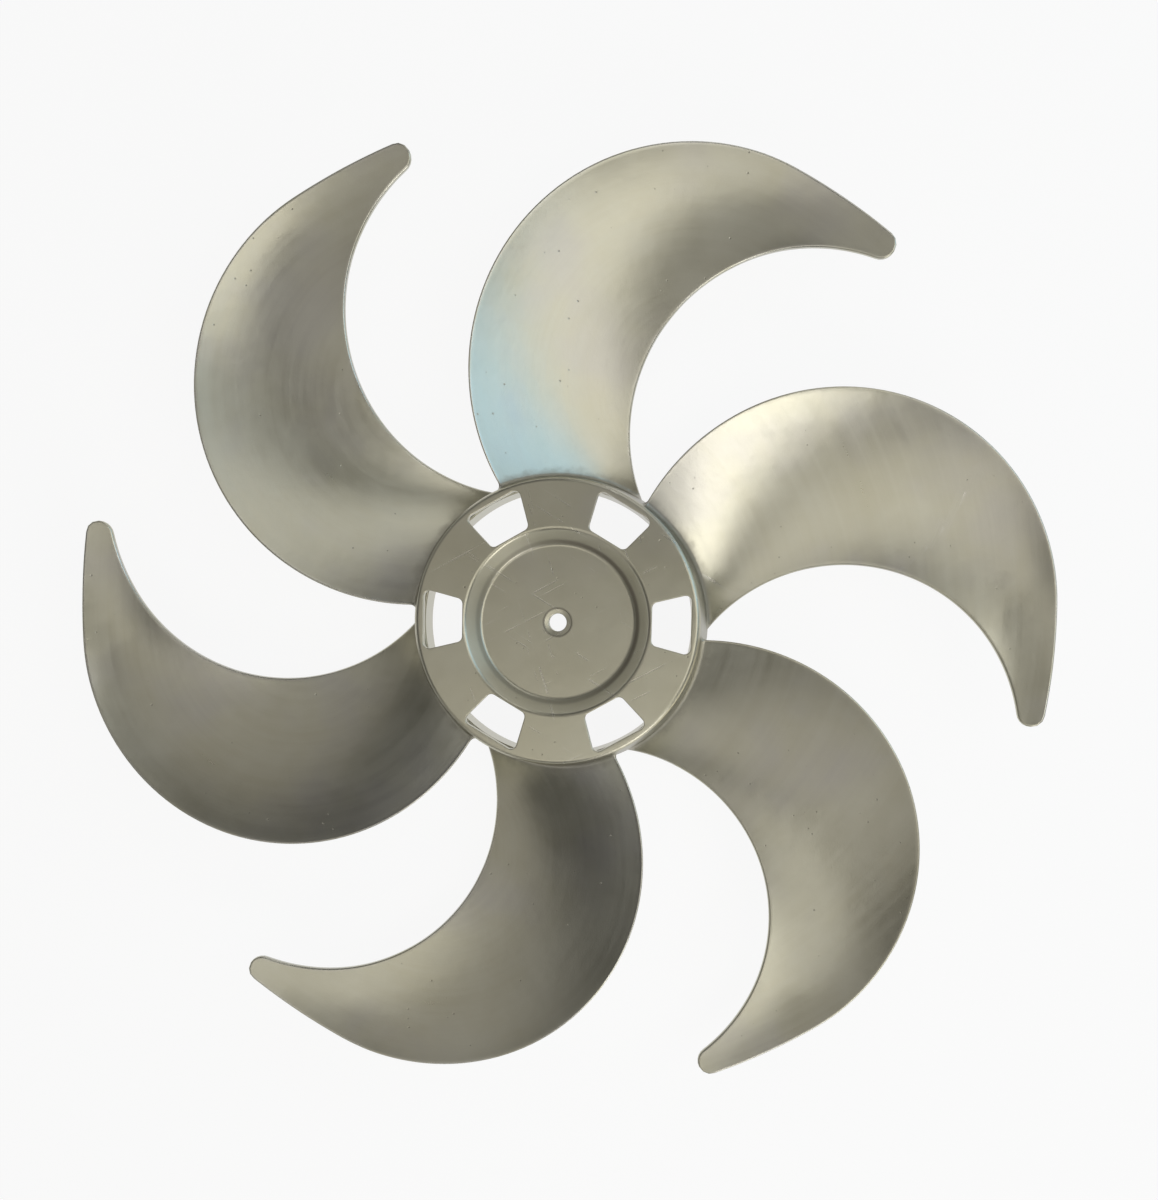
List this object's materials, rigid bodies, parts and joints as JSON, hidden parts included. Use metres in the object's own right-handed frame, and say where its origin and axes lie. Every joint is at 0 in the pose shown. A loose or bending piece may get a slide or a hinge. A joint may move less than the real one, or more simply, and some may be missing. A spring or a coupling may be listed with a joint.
{
  "type": "axial fan impeller",
  "caption": "Cast aluminium axial fan impeller: forward-swept sickle blades on a cup-shaped hub with a dished front face, trapezoidal cooling windows and a seat bore.",
  "frame": {"origin": "on the fan axis, in the plane of the hub's rear rim", "axes": "+Z along the fan axis towards the hub's dished front face; +Y towards the root of one blade, +X through the middle of one window"},
  "size_m": [0.5, 0.4696, 0.06],
  "materials": {
    "cast_aluminium": "blasted casting, satin"
  },
  "bodies": {
    "root": {"impeller": "cast_aluminium"}
  },
  "joints": []
}
